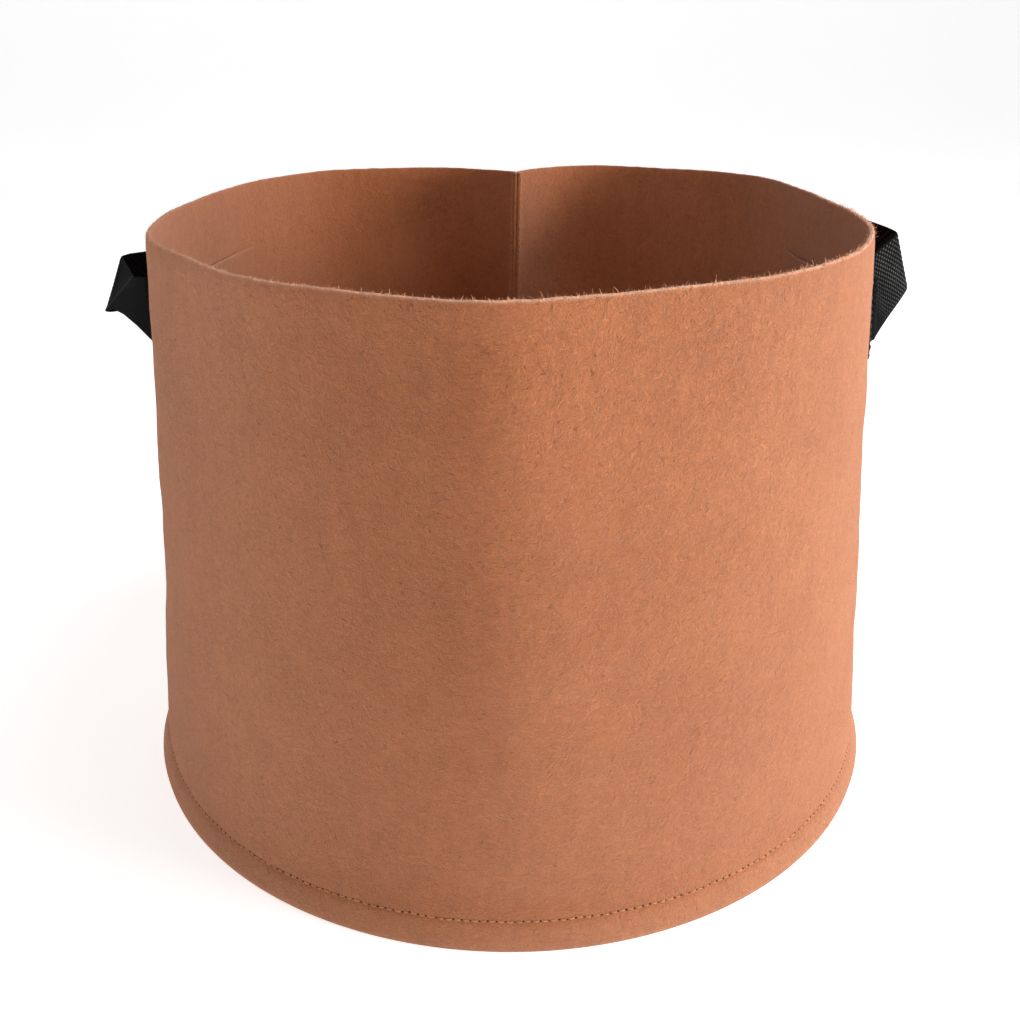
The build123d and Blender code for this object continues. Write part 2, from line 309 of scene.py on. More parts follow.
class Shader:
    """A material, with a short way to add nodes to it and to link them."""

    def __init__(self, name):
        self.material = bpy.data.materials.new(name)
        self.material.use_nodes = True
        self.tree = self.material.node_tree
        self.surface = self.tree.nodes["Principled BSDF"]
        self.where = self.add("ShaderNodeTexCoord").outputs["Object"]

    def add(self, kind, links=None, **settings):
        """Adds a node. settings are its properties or input values, links the outputs for its inputs."""
        made = self.tree.nodes.new(kind)
        for key, value in settings.items():
            if hasattr(made, key):
                setattr(made, key, value)
            else:
                made.inputs[key.replace("_", " ")].default_value = value
        for key, output in (links or {}).items():
            self.tree.links.new(output, made.inputs[key])
        return made

    def noise(self, where, scale, detail=3.0, roughness=0.5, distortion=0.0):
        """Smooth noise, from 0 to 1 with most of it near the middle."""
        made = self.add("ShaderNodeTexNoise", {"Vector": where}, Scale=scale, Detail=detail,
                        Roughness=roughness, Distortion=distortion)
        return made.outputs["Fac"]

    def math(self, operation, a, b=0.0):
        """One sum on two values, which are numbers or outputs."""
        made = self.add("ShaderNodeMath", operation=operation)
        for socket, value in zip(made.inputs, (a, b)):
            if isinstance(value, (int, float)):
                socket.default_value = value
            else:
                self.tree.links.new(value, socket)
        return made.outputs[0]

    def mix(self, share, a, b):
        """Colour a where share is 0, and b where it is 1."""
        made = self.add("ShaderNodeMix", data_type="RGBA")
        for socket, value in ((made.inputs[0], share), (made.inputs[6], a), (made.inputs[7], b)):
            if isinstance(value, (int, float, tuple)):
                socket.default_value = value
            else:
                self.tree.links.new(value, socket)
        return made.outputs[2]

    def spread(self, value, low, high):
        """value from low to high becomes 0 to 1."""
        made = self.add("ShaderNodeMapRange", {"Value": value})
        made.inputs["From Min"].default_value = low
        made.inputs["From Max"].default_value = high
        return made.outputs[0]

    def sum_of(self, parts, shares):
        """The sum of the named parts, each times its share."""
        total = 0.0
        for key, share in shares.items():
            total = self.math("ADD", total, self.math("MULTIPLY", parts[key], share))
        return total

    def bump(self, height, strength, distance):
        """Gives the surface relief from a height. distance is in metres."""
        made = self.add("ShaderNodeBump", {"Height": height}, Strength=strength, Distance=distance)
        self.link("Normal", made.outputs[0])

    def set(self, **values):
        """Sets the surface's inputs by name."""
        for key, value in values.items():
            self.surface.inputs[key.replace("_", " ")].default_value = value

    def link(self, name, output):
        """Links an output to one of the surface's inputs."""
        self.tree.links.new(output, self.surface.inputs[name])


# The felt's textures. Each has its noise's scale, detail, roughness and distortion, and the two noise values
# that become 0 and 1.
FELT_TEXTURES = {
    "blotch": ((14.0, 3.0), 0.3, 0.7),
    "mottle": ((330.0, 4.0, 0.65, 0.8), 0.3, 0.7),
    "grain": ((1150.0, 3.0, 0.7, 1.6), 0.25, 0.75),
    "pits": ((640.0, 2.0, 0.5, 0.6), 0.64, 0.76),
}
STREAK_NOISE = (160.0, 3.0, 0.6)
STREAK_STRETCH = (1.0, 1.0, 0.35)  # streaks run up the wall
FIBRE_NOISE = (430.0, 2.0, 0.55, 1.6)  # a fibre lies where this noise is near its middle value
FIBRE_BAND = 0.045
FELT_TONE = {"blotch": 0.15, "streak": 0.14, "mottle": 0.24, "grain": 0.36, "fibre": 0.20}
FELT_RELIEF = {"grain": 0.55, "mottle": 0.7, "fibre": 0.45, "pits": -0.6}
PIT_SHADE = 0.5  # how strongly the painted shade in a pit darkens the felt
PIT_COLOUR = 0.55  # the colour of that painted shade against the dark felt's
CUT_AND_HIGHLIGHT_PALENESS = 0.85
FELT_BUMP = (0.85, 0.00062)  # strength, metres
FIBRE_BUMP = 0.0002  # relief of yarn and thread, in metres
FELT_SHEEN_TINT = (1.0, 0.92, 0.82, 1.0)


def felt(name, dark, light, pale):
    """Needle-punched felt: blotches, matted fibres, small pits with painted shade, and a paler cut edge,
    which on the wall also carries painted light.
    """
    s = Shader(name)
    parts = {}
    for key, (noise, low, high) in FELT_TEXTURES.items():
        parts[key] = s.spread(s.noise(s.where, *noise), low, high)
    stretched = s.add("ShaderNodeMapping", {"Vector": s.where}, Scale=STREAK_STRETCH).outputs[0]
    parts["streak"] = s.spread(s.noise(stretched, *STREAK_NOISE), 0.3, 0.7)
    from_middle = s.math("ABSOLUTE", s.math("SUBTRACT", s.noise(s.where, *FIBRE_NOISE), 0.5))
    parts["fibre"] = s.spread(from_middle, FIBRE_BAND, 0.0)
    colour = s.mix(s.sum_of(parts, FELT_TONE), dark, light)
    # Painted shade in the felt's small pits.
    pit_shade_colour = tuple(c * PIT_COLOUR for c in dark[:3]) + (1.0,)
    colour = s.mix(s.math("MULTIPLY", parts["pits"], PIT_SHADE), colour, pit_shade_colour)
    # The cut value makes a raw cut edge paler; on the wall it also holds a painted highlight along the front
    # rim and painted light on the foot.
    edge = s.add("ShaderNodeAttribute", attribute_name="cut").outputs["Fac"]
    s.link("Base Color", s.mix(s.math("MULTIPLY", edge, CUT_AND_HIGHLIGHT_PALENESS), colour, pale))
    s.bump(s.sum_of(parts, FELT_RELIEF), *FELT_BUMP)
    s.set(Roughness=0.95, Sheen_Weight=0.35, Sheen_Roughness=0.4, Specular_IOR_Level=0.15,
          Sheen_Tint=FELT_SHEEN_TINT)
    return s.material


# The webbing's colours: the gaps between raised yarns are painted shade, the lit yarns are painted light
# round the fold, and the crease yarns are a painted highlight along the left handle's crease.
YARN_GAP_SHADE = (0.0030, 0.0029, 0.0030, 1.0)
RAISED_YARN = (0.020, 0.0195, 0.0195, 1.0)
LIT_YARN = (0.19, 0.185, 0.18, 1.0)
CREASE_HIGHLIGHT_YARN = (0.045, 0.046, 0.045, 1.0)


def webbing_material():
    """Black woven webbing: dull yarns, greyer where they stand up, with painted shade between them, painted
    light round the fold and a painted highlight along a hard crease.
    """
    s = Shader("webbing")
    raised, lit_yarns, crease_highlight = (s.add("ShaderNodeAttribute", attribute_name=name).outputs["Fac"]
                             for name in ("raised", "lit_yarns", "crease_highlight"))
    fuzz = s.spread(s.noise(s.where, 2600.0, 3.0, 0.7), 0.3, 0.7)
    uneven = s.math("ADD", s.math("MULTIPLY", fuzz, 0.6), 0.6)
    tone = s.math("MULTIPLY", s.math("POWER", raised, 2.2), uneven)
    # Painted light: raised yarns are painted lighter round the fold and stay dark near the wall as painted
    # shade; the gaps between them are painted shade.
    colour = s.mix(tone, YARN_GAP_SHADE, s.mix(lit_yarns, RAISED_YARN, LIT_YARN))
    # Painted highlight along the hard crease.
    s.link("Base Color", s.mix(s.math("MULTIPLY", crease_highlight, 0.5), colour, CREASE_HIGHLIGHT_YARN))
    s.bump(fuzz, 0.5, FIBRE_BUMP)
    s.set(Roughness=0.8, Specular_IOR_Level=0.03)
    return s.material


def thread_material(name, dark, light):
    """Twisted sewing thread."""
    s = Shader(name)
    twist = s.spread(s.noise(s.where, 2200.0, 2.0, 0.6, 1.0), 0.3, 0.7)
    s.link("Base Color", s.mix(twist, dark, light))
    s.bump(twist, 0.6, FIBRE_BUMP)
    s.set(Roughness=0.6, Specular_IOR_Level=0.3, Sheen_Weight=0.15)
    return s.material


def hole_material():
    """The shade in a needle hole."""
    s = Shader("needle_hole")
    s.link("Base Color", s.mix(s.noise(s.where, 900.0), (0.040, 0.012, 0.005, 1), (0.16, 0.050, 0.022, 1)))
    s.set(Roughness=1.0, Specular_IOR_Level=0.0)
    return s.material


def fibre_material():
    """Loose felt fibres, paler than the felt they stand on."""
    s = Shader("felt_fibre")
    tone = s.spread(s.noise(s.where, 220.0, 2.0), 0.35, 0.65)
    s.link("Base Color", s.mix(tone, (0.62, 0.27, 0.14, 1), (0.90, 0.52, 0.34, 1)))
    s.set(Roughness=0.8, Sheen_Weight=0.3, Specular_IOR_Level=0.2)
    return s.material


FELT_DARK = (0.320, 0.092, 0.032, 1)
FELT_LIGHT = (0.665, 0.240, 0.098, 1)
FELT_CUT_AND_HIGHLIGHT = (0.97, 0.55, 0.36, 1)
FELT_LOOK = felt("felt", FELT_DARK, FELT_LIGHT, FELT_CUT_AND_HIGHLIGHT)
WEBBING_LOOK = webbing_material()
SEAM_THREAD_LOOK = thread_material("seam_thread", (0.42, 0.16, 0.065, 1), (0.80, 0.42, 0.20, 1))
STRAP_THREAD_LOOK = thread_material("strap_thread", (0.006, 0.006, 0.006, 1), (0.045, 0.043, 0.045, 1))
FIBRE_LOOK = fibre_material()
HOLE_LOOK = hole_material()


# ---- the wall

def rim_curves():
    """The rim and the round foot as curves over one number: -1 and 1 at the back seam, 0 at the front."""
    left = np.array([RIM_CREASE, *RIM_LEFT, RIM_SEAM], float)
    right = np.array([RIM_CREASE, *RIM_RIGHT, RIM_SEAM], float)
    shares = np.concatenate([-(along(left) / along(left)[-1])[::-1], (along(right) / along(right)[-1])[1:]])
    rim = smooth_curve(shares, np.concatenate([left[::-1], right[1:]]))

    def circle(share):
        return np.stack([np.sin(math.pi * share), -np.cos(math.pi * share)], -1)

    return rim, circle


RIM, CIRCLE = rim_curves()
PROFILE_Z, PROFILE_INSET = np.array(SKIRT_PROFILE).T
SEAM_RADIUS = SKIRT_RADIUS - np.interp(SEAM_Z, PROFILE_Z, PROFILE_INSET)


def outer_face(share, z):
    """Points of the wall's outer face in plan, at a height."""
    rise = max(0.0, (z - ROUND_UNTIL_Z) / (HEIGHT - ROUND_UNTIL_Z))
    radius = SKIRT_RADIUS - np.interp(z, PROFILE_Z, PROFILE_INSET)
    return CIRCLE(share) * radius * (1 - rise) + RIM(share) * rise


def outward(points):
    """Normals of a path in plan, on the side that faces out of the bag."""
    tangent = unit(np.gradient(points, axis=0))
    return np.stack([tangent[:, 1], -tangent[:, 0]], -1)


FACE_POINTS = 2401  # points of the outer face in plan, and how many of them one curve piece spans
FACE_STEP = 12
FIN_PLAY = 0.03


def wall_path(z):
    """The middle of the wall's felt in plan at a height, from the fin's left free edge round the bag to its
    right one, and the half thickness there."""
    share = np.linspace(-1, 1, FACE_POINTS)
    face = outer_face(share, z)
    middle = face - outward(face) * FELT / 2
    seam_x = face[-1][0]
    halves = []
    for side in (-1, 1):
        half = middle[share * side >= 0]
        half = half if side > 0 else half[::-1]
        corner_x = seam_x + side * FIN_LAYER / 2
        behind = half[:, 1] > 0
        near = half[behind][np.argmin(np.abs(half[behind][:, 0] - corner_x))]
        corner = np.array([corner_x, near[1]])
        outside = np.linalg.norm(half - corner, axis=1) > BEND_LEG
        outside &= (half[:, 0] - corner_x) * side > 0
        halves.append((half[outside], corner))
    (left, left_corner), (right, right_corner) = halves
    body = np.concatenate([left[::-1], right])
    far = along(body)
    last = (len(far) - 1) // FACE_STEP * FACE_STEP
    curve = smooth_curve(far[::FACE_STEP], body[::FACE_STEP])
    body = curve(np.linspace(0, far[last], WALL_COLUMNS))
    parts = []
    for corner, start in ((left_corner, body[0]), (right_corner, body[-1])):
        root = corner - (0, BEND_LEG)
        t = np.linspace(0, 1, BEND_COLUMNS + 2)[1:-1, None]
        bend = (1 - t) ** 2 * start + 2 * t * (1 - t) * corner + t ** 2 * root
        tip_y = face[-1][1] - FELT - FIN_DEPTH
        fin = np.stack([np.full(FIN_COLUMNS, corner[0]), np.linspace(root[1], tip_y, FIN_COLUMNS)], -1)
        parts.append(np.concatenate([bend, fin]))
    path = np.concatenate([parts[0][::-1], body, parts[1]])
    half = np.full(len(path), FELT / 2)
    thin = BEND_COLUMNS + FIN_COLUMNS
    change = np.linspace(FIN_LAYER / 2 - FIN_PLAY, FELT / 2, thin)
    half[:thin] = change
    half[-thin:] = change[::-1]
    return path, half


# Heights of the wall's rows at the foot, and their depths below the rim's edge at the rim.
FOOT_LEVELS = (0.0, 0.12, 0.45, 1.6, 3.0, 4.6, 6.2, 7.6, 8.7, 9.6, 10.4, 11.0, 11.5, 12.0, 12.7, 13.6, 14.8,
               16.5, 19.0, ROUND_UNTIL_Z)
RIM_DEPTHS = (8.0, 5.5, 3.6, 2.2, 1.2, 0.6, 0.25, 0.08, 0.0)
FOOT_TAPER = (0.5, 0.85)  # the cloth's thickness in the lowest rows and the highest, against its full one
RIM_TAPER = (0.95, 0.86, 0.76, 0.68, 0.58, 0.46, 0.3)
MIDDLE_ROWS = 27
MIDDLE_TOP_DEPTH = 11.0


def wall_levels():
    """Heights of the wall's rows and how thin the cloth is in each."""
    middle = np.linspace(ROUND_UNTIL_Z, HEIGHT - MIDDLE_TOP_DEPTH, MIDDLE_ROWS + 1)[1:]
    levels = np.concatenate([FOOT_LEVELS, middle, HEIGHT - np.array(RIM_DEPTHS)])
    taper = np.ones(len(levels))
    taper[:len(FOOT_TAPER)] = FOOT_TAPER
    taper[-len(RIM_TAPER):] = RIM_TAPER
    return levels, taper


def wall_surface(levels):
    """The wall's middle surface, normals and half thickness, column by row."""
    paths, normals, halves = [], [], []
    for z in levels:
        path, half = wall_path(z)
        paths.append(path)
        normals.append(outward(path))
        halves.append(half)
    middle = np.stack(paths, 1)
    normal = np.stack(normals, 1)
    z = np.broadcast_to(levels, middle.shape[:2])
    flat = np.zeros((*z.shape, 1))
    return np.concatenate([middle, z[..., None]], -1), np.concatenate([normal, flat], -1), np.stack(halves, 1)


def tab_area(points):
    """1 where the sewn strap ends press the wall's felt, and 0 elsewhere."""
    x, y, z = points[..., 0], points[..., 1], points[..., 2]
    tall = STRAP_WIDTH / 2
    area = np.zeros(x.shape)
    for handle in HANDLES.values():
        for start, away in ((handle["front_y"], -1), (handle["rear_y"], 1)):
            past = (y - start) * away
            inside = ease(-2.0, 1.0, past) * (1 - ease(TAB_LENGTH - 1.0, TAB_LENGTH + 2.0, past))
            inside = inside * (1 - ease(tall - 1.0, tall + 3.0, np.abs(z - STRAP_CENTRE_Z)))
            area = np.maximum(area, inside * (x * handle["side"] > 0))
    return area


def rim_fray_and_highlight(middle):
    """How long the rim's fuzz is and how pale its cut is painted at each of the wall's columns: most along
    the front, where the paleness is partly a painted highlight.
    """
    return ease(-125.0, -20.0, middle[:, -1, 0]) * (1 - ease(-40.0, 60.0, middle[:, -1, 1]))


# Waves of the wall: their size, number, longest and shortest. Bulges are all over it, sways near the top, and
# the rim rises and falls, with small nicks in its cut.
WALL_BULGES = (0.55, 7, 150.0, 24.0)
WALL_SWAYS = (0.5, 5, 260.0, 70.0)
RIM_SWAYS = (0.35, 4, 190.0, 60.0)
RIM_NICKS = (0.10, 6, 12.0, 3.0)
BULGES_FROM_Z = (24.0, 70.0)  # heights where they set in and are full
SWAYS_FROM_Z = 120.0
SEAM_DENT_REACH = 1.6
RIM_CUT = (1.0, 1.0, 0.7, 0.2)  # how pale the cut is from the last row of the rim inwards
FOOT_CUT = (0.3, 0.15)
END_CUT = 0.08


def wall():
    """One strip of felt: its two ends turn in at the back and make the fin, and its rim is a raw cut."""
    levels, taper = wall_levels()
    middle, normal, half = wall_surface(levels)
    distance = along(middle[:, len(levels) // 2])[:, None]
    z = levels[None, :]
    push = waves(WALL_BULGES, distance, z) * ease(*BULGES_FROM_Z, z)
    push += waves(WALL_SWAYS, distance, z * 0.3) * ease(SWAYS_FROM_Z, HEIGHT, z)
    push -= SEAM_DENT * np.exp(-((z - SEAM_Z) / SEAM_DENT_REACH) ** 2)
    ends = np.minimum(np.arange(len(middle)), np.arange(len(middle))[::-1])[:, None]
    push *= ease(8.0, 40.0, ends)
    pressed = TAB_PRESS * tab_area(middle)
    half = half - pressed / 2
    middle = middle + normal * (push - pressed / 2)[..., None]
    rim_part = ease(HEIGHT - 12.0, HEIGHT, z)
    middle[..., 2] += rim_part * (waves(RIM_SWAYS, distance, 0 * z) + waves(RIM_NICKS, distance, 0 * z))
    thinned = FIN_RIM_THINNING + (1 - FIN_RIM_THINNING) * ease(8.0, 30.0, ends)
    taper = 1 - (1 - taper[None, :]) * np.where(z > HEIGHT / 2, thinned, 1.0)
    cut = cut_edges(len(middle), len(levels), RIM_CUT, FOOT_CUT, END_CUT)
    # Painted highlight: the rim's cut is painted fully pale along the front, where it catches the light, and
    # darker at the back and on the left as painted shade.
    cut *= np.repeat(UNLIT_RIM_CUT + (1 - UNLIT_RIM_CUT) * rim_fray_and_highlight(middle), 2 * len(levels))
    # Painted light: the foot below the base seam is painted paler, against the shade where it tilts away from
    # the lights.
    skirt_light = SKIRT_PAINTED_LIGHT * (1 - ease(SEAM_Z - 2.0, SEAM_Z, levels))
    cut += np.tile(np.concatenate([skirt_light, skirt_light[::-1]]), len(middle))
    piece = make_mesh("wall", *slab(middle, normal, half, taper), FELT_LOOK, cut=cut)
    return piece, middle, normal, levels


# ---- the base

# The middle of the base's felt from the centre outwards: radius and height. It lies on the floor, rises to
# the seam, folds over there and is turned down inside the skirt.
BASE_PATH = [(0.0, 1.27), (70.0, 1.27), (140.0, 1.3), (150.0, 1.9), (158.0, 4.5), (164.5, 8.4), (168.3, 10.9),
             (169.6, 11.1), (170.4, 9.9), (172.0, 7.6), (174.0, 3.0), (173.7, 0.25)]
BASE_COLUMNS = 420
BASE_FLAT_ROWS = 34  # rows up to BASE_FLAT_LENGTH along that path, and beyond it
BASE_RISE_ROWS = 43
BASE_FLAT_LENGTH = 140.0
BASE_WAVES = (0.5, 6, 160.0, 40.0)
FIN_TAKE_IN = 0.42  # the fin's foot presses the base's edge inwards, from this radius outwards
FIN_TAKE_IN_FROM = 148.0
FIN_CROWDING = 0.6  # how much closer together the base's columns are at the fin
# Small tongues of the base's hem lie flat on each side of the fin's foot: their span in X, Y and Z.
TONGUE = ((2.3, 9.5), (159.0, 173.6), (0.15, 1.3))


def base():
    """A disc of felt that lies on the floor, with its edge turned down inside the foot of the wall."""
    columns = BASE_COLUMNS
    path = smooth_curve(along(np.array(BASE_PATH)), BASE_PATH)
    length = along(np.array(BASE_PATH))[-1]
    flat_rows = np.linspace(0.5, BASE_FLAT_LENGTH, BASE_FLAT_ROWS)
    rise_rows = np.linspace(BASE_FLAT_LENGTH, length, BASE_RISE_ROWS + 1)[1:]
    profile = path(np.concatenate([flat_rows, rise_rows]))
    tangent = unit(np.gradient(profile, axis=0))
    normal = np.stack([-tangent[:, 1], tangent[:, 0]], -1)
    even = np.arange(columns)[:, None] * 2 * math.pi / columns
    turn = math.pi / 2 + even - FIN_CROWDING * np.sin(even)
    radius, height = profile[:, 0][None, :], profile[:, 1][None, :]
    x_at_seam = np.where(np.sin(turn) > 0, np.abs(np.cos(turn)) * radius.max(), 99.0)
    take_in = 1 - ease(4.4, 7.5, x_at_seam)
    outer = np.maximum(radius - FIN_TAKE_IN_FROM, 0)
    radius = radius - outer * FIN_TAKE_IN * take_in
    rise = ease(143.0, 156.0, radius) * (1 - ease(164.0, 171.0, radius))
    pucker = np.sin(46 * turn + 3 * np.sin(5 * turn)) * 0.25 + np.sin(19 * turn + 1.0) * 0.35
    lift = rise * (pucker + 0.45)
    x, y = radius * np.cos(turn), radius * np.sin(turn)
    soft = (0.5 + waves(BASE_WAVES, x, y)) * (1 - ease(120.0, 150.0, radius))
    middle = np.stack([x, y, height + lift + np.clip(soft, 0, 1.4) * 0.7], -1)
    out, up = np.broadcast_to(normal[:, 0], x.shape), np.broadcast_to(normal[:, 1], x.shape)
    normals = np.stack([out * np.cos(turn), out * np.sin(turn), up], -1)
    taper = np.ones(len(profile))
    taper[-2:] = 0.9, 0.55
    cut = cut_edges(columns, len(profile), FOOT_CUT)
    cloth = slab(middle, normals, np.full(x.shape, FELT / 2), taper, closed=True)
    return make_mesh("base", *cloth, FELT_LOOK, cut=cut)


def hem_tongues():
    """Two small flat blocks of felt, one on each side of the fin's foot."""
    span_x, span_y, span_z = TONGUE
    corners = np.array([(x, y, z) for x in span_x for y in span_y for z in span_z])
    sides = np.array([(0, 1, 3, 2), (4, 6, 7, 5), (0, 4, 5, 1), (2, 3, 7, 6), (0, 2, 6, 4), (1, 5, 7, 3)])
    blocks = [(corners, sides), (corners * (-1, 1, 1), sides[:, ::-1])]
    return make_mesh("hem_tongues", *join(blocks), FELT_LOOK)


# ---- the stitches

STITCH_RISE = np.array([-0.9, 0.0, 0.75, 1.0, 1.0, 0.75, 0.0, -0.9])
STITCH_SWELL = np.array([0.5, 0.9, 1.0, 1.0, 1.0, 1.0, 0.9, 0.5])
# Kinds of stitch row: the share of a stitch left free at each of its ends, how high it stands, by what share
# of that it may stand lower, and its radius.
PLAIN_STITCH = (0.12, 0.34, 0.2, 0.33)
FOOT_STITCH = (0.16, 0.34, 0.75, 0.3)
BOX_STITCH = (0.08, 0.3, 0.2, 0.3)
BOX_STITCH_PITCH = 2.9
FOOT_STITCH_INSIDE = 1.2  # the foot's inner stitches lie this far inside its two layers of felt
FOOT_STITCH_LOWER = 3.0  # and this much lower than the outer ones
NEEDLE_HOLE = np.array([-0.5, -0.2, 0.12, 0.2])
NEEDLE_HOLE_SWELL = np.array([0.7, 1.0, 0.85, 0.5])


def stitch(start, end, normal, lift, radius):
    """One stitch: a thread that comes up through the cloth at start, lies on it and goes down at end."""
    t = np.linspace(0, 1, len(STITCH_RISE))[:, None]
    centres = start + (end - start) * t + normal * (STITCH_RISE[:, None] * lift)
    return tube(centres, radius * STITCH_SWELL, normal)


def stitch_row(holes, normals, kind=PLAIN_STITCH):
    """A row of stitches from each needle hole to the next."""
    gap, lift, lift_spread, radius = kind
    parts = []
    for a, b, n in zip(holes, holes[1:], normals):
        inset = (b - a) * gap
        own_lift = lift * (1 - lift_spread * chance.uniform(0, 1))
        parts.append(stitch(a + inset, b - inset, n, own_lift, radius))
    return parts


def wander(holes, normals, along_row, across_row):
    """Needle holes with small errors along and across their row."""
    ahead = unit(np.gradient(holes, axis=0))
    across = np.cross(ahead, normals)
    count = len(holes)
    return (holes + ahead * chance.normal(0, along_row, count)[:, None]
            + across * chance.normal(0, across_row, count)[:, None])


def base_seam():
    """The row of stitches round the foot: outside, in its needle holes, and inside the turned edge."""
    count = round(2 * math.pi * SEAM_RADIUS / STITCH_PITCH)
    turn = np.arange(count + 1) * 2 * math.pi / count
    outside = SEAM_RADIUS - SEAM_DENT
    outward_way = np.stack([np.cos(turn), np.sin(turn), 0 * turn], -1)
    holes = outward_way * outside + (0, 0, SEAM_Z)
    holes = wander(holes, outward_way, 0.22, 0.2)
    holes[-1] = holes[0]
    threads = stitch_row(holes, outward_way, FOOT_STITCH)
    inside = outside - 2 * FELT - FOOT_STITCH_INSIDE
    under = outward_way * inside + (0, 0, SEAM_Z - FOOT_STITCH_LOWER)
    clear = np.where(np.abs(turn - math.pi / 2) > FIN_CLEAR_TURN)[0]
    for run in np.split(clear, np.where(np.diff(clear) > 1)[0] + 1):
        threads += stitch_row(under[run], -outward_way[run])
    pricks = []
    for hole, way in zip(holes[:-1], outward_way):
        size = chance.uniform(0.38, 0.62)
        centres = hole + way * NEEDLE_HOLE[:, None]
        pricks.append(tube(centres, size * NEEDLE_HOLE_SWELL, np.array([0, 0, 1.0])))
    return (make_mesh("base_seam_stitches", *join(threads), SEAM_THREAD_LOOK),
            make_mesh("base_seam_needle_holes", *join(pricks), HOLE_LOOK))


def side_seam(middle, levels):
    """The two rows of stitches on the fin's faces."""
    parts = []
    z = np.arange(16.5, HEIGHT - 2.5, STITCH_PITCH)
    for column, side in ((0, -1), (-1, 1)):
        x = np.interp(z, levels, middle[column, :, 0]) + side * (FIN_LAYER / 2 - 0.05)
        y = np.interp(z, levels, middle[column, :, 1]) + FIN_THREAD_INSET
        normals = np.tile([side, 0.0, 0.0], (len(z), 1))
        holes = wander(np.stack([x, y, z], -1), normals, 0.1, 0.1)
        parts += stitch_row(holes, normals)
    return make_mesh("side_seam_stitches", *join(parts), SEAM_THREAD_LOOK)


# ---- patches, straps and fibres

def wall_columns(y_low, y_high, side, z, count):
    """Column numbers, as fractions, of the wall's path from y_low to y_high on one side at a height."""
    path, _ = wall_path(z)
    own = np.where((path[:, 0] * side > 60) & (np.abs(path[:, 1]) < 140))[0]
    order = own[np.argsort(path[own, 1])]
    return np.interp(np.linspace(y_low, y_high, count), path[order, 1], order)


def on_wall(column, z):
    """Points of the wall's middle and its outward normals at column numbers, for one height."""
    path, _ = wall_path(z)
    number = np.arange(len(path))
    normal = outward(path)
    point = np.stack([np.interp(column, number, path[:, k]) for k in (0, 1)], -1)
    facing = np.stack([np.interp(column, number, normal[:, k]) for k in (0, 1)], -1)
    return point, unit(facing)


PATCH_WAVES = (0.2, 5, 60.0, 6.0)
PATCH_COLUMN = 1.1  # width of one of its columns
PATCH_STAND_OFF = 0.12  # between the patch and the wall where it lies flat
PATCH_CUT = (0.15, 0.1)


def patch(name, handle):
    """A strip of felt sewn inside the wall behind a handle. Its top edge stands off the wall a little."""
    low, high = handle["patch_y"]
    count = round((high - low) / PATCH_COLUMN)
    column = wall_columns(low, high, handle["side"], PATCH_TOP_Z, count)
    span = PATCH_TOP_Z - PATCH_BOTTOM_Z
    shares = np.concatenate([[0, 0.004, 0.014], np.linspace(0.04, 0.96, 26), [0.986, 0.996, 1.0]])
    run = np.linspace(0, 1, count)[:, None]
    y = low + (high - low) * run
    middle, normals = [], []
    for share in shares:
        z = PATCH_BOTTOM_Z + span * share
        point, facing = on_wall(column, z)
        bulge = PATCH_GAP * np.exp(-((y - PATCH_GAP_Y) / PATCH_GAP_REACH) ** 2) * share ** 5
        stand_off = PATCH_STAND_OFF + bulge
        point = point - facing * (FELT / 2 + PATCH_THICK / 2 + stand_off)
        middle.append(np.concatenate([point, np.full((count, 1), z)], -1))
        normals.append(np.concatenate([facing, np.zeros((count, 1))], -1))
    middle, normals = np.stack(middle, 1), np.stack(normals, 1)
    middle[..., 2] += waves(PATCH_WAVES, run * (high - low), 0) * ease(0.9, 1.0, shares)[None, :]
    taper = np.ones(len(shares))
    taper[:2] = 0.55, 0.88
    taper[-2:] = 0.88, 0.55
    column_taper = np.ones(count)
    column_taper[[0, -1]] = 0.6
    half = np.full(middle.shape[:2], PATCH_THICK / 2)
    cut = cut_edges(count, len(shares), PATCH_CUT, PATCH_CUT, END_CUT)
    return make_mesh(f"{name}_patch", *slab(middle, normals, half, taper, column_taper), FELT_LOOK, cut=cut)


TAB_POINTS = 9
STRAP_PLAY = 0.06  # between the sewn ends and the felt they press in
EDGE_STEP = 0.1  # step along the webbing's edges where they are softened


